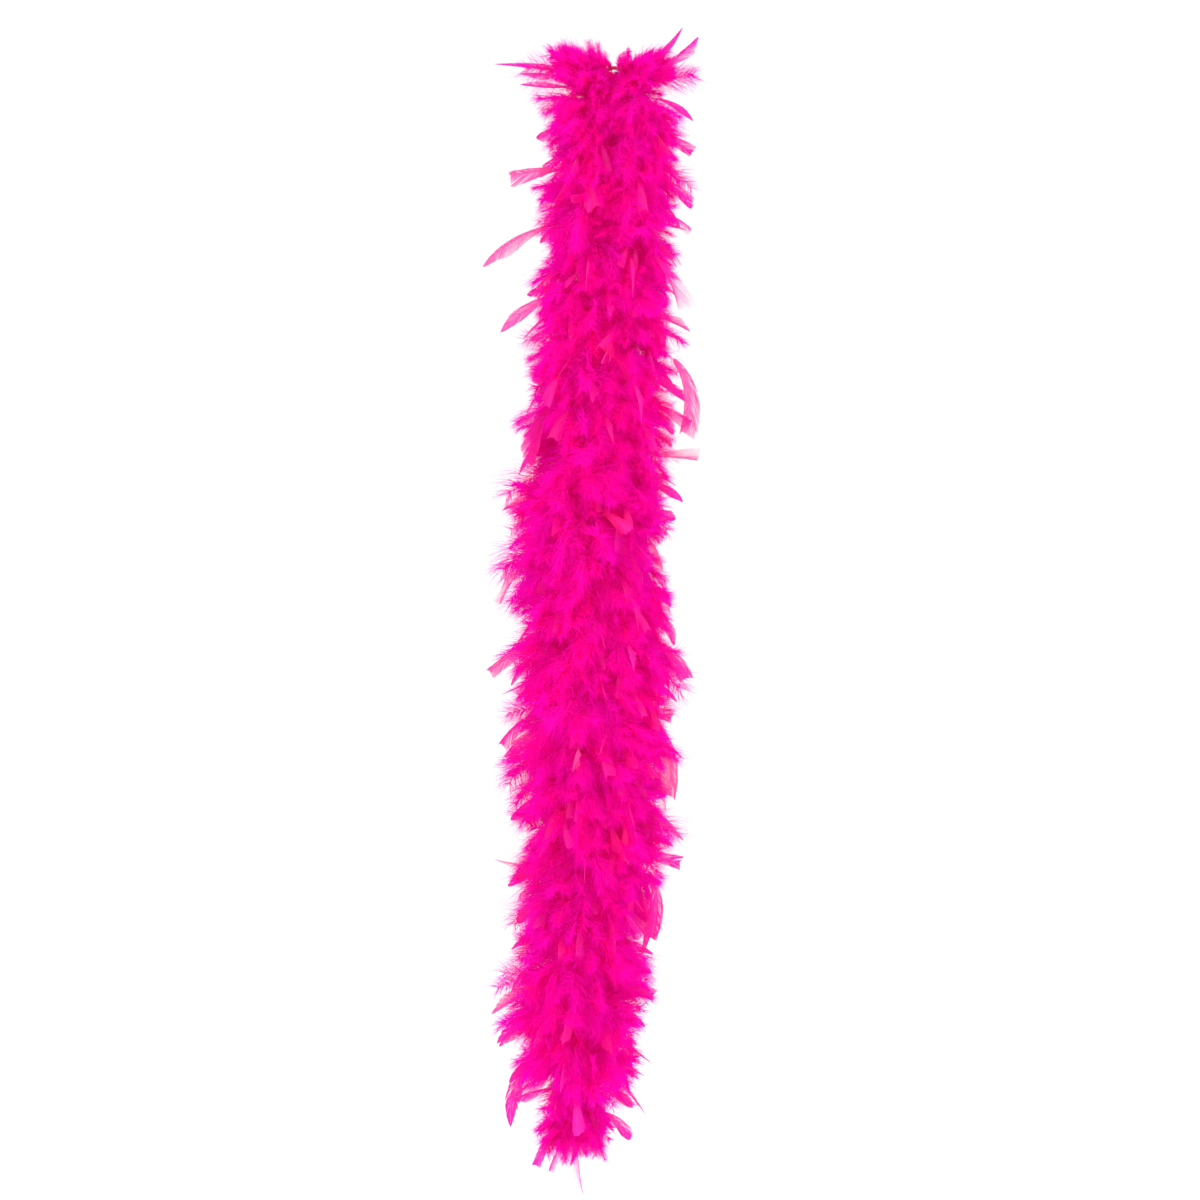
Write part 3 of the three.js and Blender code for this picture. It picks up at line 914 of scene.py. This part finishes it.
FOLD_REACH = 58 * MM       # strand on each side of the top that these two bunches cover
ARC_END = 22 * MM          # roots of the feathers that point up lie between these two
LEAST_ALONG = 2 * MM
ROOT_SPREAD = 6 * MM
FRONT_DROOP = 0.45         # a tip sinks by this much of how far it stands to the front or back
LOBE_BEND = (-10, 35)      # degrees
LOBE_FILL = (0.7, 1.0)     # of the way out to a lobe's skin, where the tips lie
FEATHERS_PER_LOBE = 122
# middle and half sizes, in mm, of the spaces that each lobe's feather tips fill, and their share
FOLD_LOBES = {
    "left": (((-34, 0, 9), (29, 38, 22), 0.55), ((-28, 0, -38), (36, 46, 26), 0.45)),
    "right": (((31, 0, 6), (30, 36, 23), 0.55), ((24, 0, -40), (32, 44, 24), 0.45)),
}
ARC_FLUFF = 66             # short downy ones round the arc, which hide the cord in the notch
ARC_FLUFF_SLOPES = ((0, 25), (15, 30))
ARC_FLUFF_ALONG = (1, 34)  # mm
ARC_FLUFF_TURNS = 7        # round the strand, from the first to the last
ARC_FLUFF_SIZE = 0.58
ARC_FLUFF_TRIM = 0.44      # those that point up are smaller by this, so that the notch stays open
ARC_FLUFF_GROWTH = 1.1

for name, tail in (("left", "long"), ("right", "short")):
    made = list(singles.get((tail, 0), []))
    for middle, sizes, share in FOLD_LOBES[name]:
        for number in range(int(FEATHERS_PER_LOBE * share)):
            way = rng.normal(0, 1, 3)
            way /= np.linalg.norm(way)
            tip = (np.array(middle) + np.array(sizes) * way * rng.uniform(*LOBE_FILL)) * MM
            tip[2] -= FRONT_DROOP * abs(tip[1])
            drop = np.clip(-tip[2], -CORD_RADIUS, FOLD_REACH)
            outward = tip[0] * (1 if tail == "short" else -1)
            along = along_at(tail, drop) if drop > 0 else np.clip(outward, LEAST_ALONG, ARC_END)
            root, _, _, _ = strand_at(tail, max(along + rng.normal(0, ROOT_SPREAD), LEAST_ALONG))
            kinds = downy_patterns if number % 3 else fluff_patterns
            pattern = kinds[rng.integers(len(kinds))]
            bend = rng.uniform(*LOBE_BEND)
            made.append(lay_between(rng, pattern, root, tip, bend, rng.uniform(0, math.pi)))
    for number in range(ARC_FLUFF):
        along = rng.uniform(*ARC_FLUFF_ALONG) * MM
        azimuth = 2 * math.pi * (number + rng.uniform()) / ARC_FLUFF * ARC_FLUFF_TURNS % (2 * math.pi)
        _, _, right, _ = strand_at(tail, along)
        size = ARC_FLUFF_SIZE - ARC_FLUFF_TRIM * max(math.cos(azimuth) * right[2], 0)
        sizes = (size, ARC_FLUFF_GROWTH * size)
        slopes = ARC_FLUFF_SLOPES
        made.append(lay_one(rng, fluff_patterns, tail, along, azimuth, slopes, sizes, FLUFF_ROLL))
    piece = add_bunch(f"feathers_fold_{name}", made, f"tuft_fold_{name}")
    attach(piece, "fold")

# ---- Long feathers ------------------------------------------------------------------------------
# Longer single feathers with little down, tied into the strand between two bunches. They take less
# dye, so their flat vanes stand out paler than the rest.

LONG_FEATHER_LIFT = 14.3 * MM
# tail, bunch it is tied above, tip in mm (x, y, z), width in mm, bend in degrees, whether the tip is
# cut square
LONG_FEATHERS = [
    ("long", 2, (-99, -4, -102), 17, 6, True),
    ("long", 3, (-125, -38, -192), 16, 26, False),
    ("long", 4, (-109, -2, -251), 15, 16, False),
    ("long", 8, (-109, -2, -510), 9, 20, True),
    ("long", 10, (-119, -2, -575), 13, 16, True),
    ("long", 12, (-40, -74, -668), 12, 20, False),
    ("long", 14, (-115, -2, -755), 9, -16, False),
    ("long", 16, (-118, -2, -903), 14, 14, False),
    ("short", 5, (68, -8, -350), 17, 52, True),
    ("short", 7, (78, -2, -373), 17, 6, True),
    ("short", 8, (14, 78, -470), 14, 24, False),
    ("short", 11, (52, -4, -694), 24, 34, True),
    ("short", 13, (66, -4, -737), 9, 12, False),
]

pale_pink_vane = dyed_feather(
    "pale_pink_vane",
    shaft="#FF8ACC",
    down_deep="#F808C8",
    down_tip="#F814D0",
    vane="#F86CBE",
    # painted red glow, standing in for bounce light in the hollows
    painted_glow_colour="#FF0040",
)
numbers = {"long": 0, "short": 0}
for tail, above, tip, width, bend, square in LONG_FEATHERS:
    numbers[tail] += 1
    drop = FIRST_TUFT_DROP + (above - 1) * TUFT_PITCH - LONG_FEATHER_LIFT
    kind = "cut" if square else "leaf"
    vertices, faces, places = single_feather(rng, tail, np.array(tip) * MM, drop, kind, width * MM, bend)
    label = f"long_feather_{tail}_{numbers[tail]}"
    piece = add_mesh(f"{label}_plume", vertices, faces, pale_pink_vane, places)
    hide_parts(label)
    follow(piece, tail, vertices[:, 2].max(), vertices[:, 2].min())

# ---- Floor and light ----------------------------------------------------------------------------
# A pale floor well below the boa and a bright even surround, with two large soft lamps from the
# front, the stronger one from the upper left.

FLOOR_HEIGHT = -1.2
FLOOR_HALF = 6.0
SURROUND_STRENGTH = 1.04

floor_material = new_material("pale_matt_floor")
finish = {"Base Color": linear("#FDFDFD"), "Roughness": 0.9}
paint = add_node(floor_material, "ShaderNodeBsdfPrincipled", finish)
finish_material(floor_material, paint.outputs["BSDF"])
corners = FLOOR_HALF * np.array([[-1, -1], [1, -1], [1, 1], [-1, 1]])
corners = np.column_stack([corners, np.full(4, FLOOR_HEIGHT)])
floor = add_mesh("floor", corners, [[0, 1, 2, 3]], floor_material)

world = bpy.data.worlds.new("studio")
world.use_nodes = True
world.node_tree.nodes["Background"].inputs["Color"].default_value = linear("#FFFFFF")
world.node_tree.nodes["Background"].inputs["Strength"].default_value = SURROUND_STRENGTH
bpy.context.scene.world = world
bpy.context.scene.view_settings.view_transform = "Standard"


def add_soft_lamp(name, place, aim, size, power):
    """A round area lamp at a place, turned to the point it is aimed at."""
    lamp = bpy.data.lights.new(name, "AREA")
    lamp.shape = "DISK"
    lamp.size = size
    lamp.energy = power
    item = bpy.data.objects.new(name, lamp)
    item.location = place
    direction = np.array(aim) - np.array(place)
    yaw = math.atan2(direction[0], -direction[1])
    tilt = math.atan2(np.hypot(direction[0], direction[1]), -direction[2])
    item.rotation_euler = (tilt, 0, math.pi + yaw if direction[1] > 0 else yaw)
    bpy.context.scene.collection.objects.link(item)


middle = (0, 0, -0.5)
add_soft_lamp("key_lamp", (-1.6, -2.4, 0.9), middle, size=1.4, power=70)
add_soft_lamp("fill_lamp", (1.9, -2.0, 0.2), middle, size=1.6, power=44)
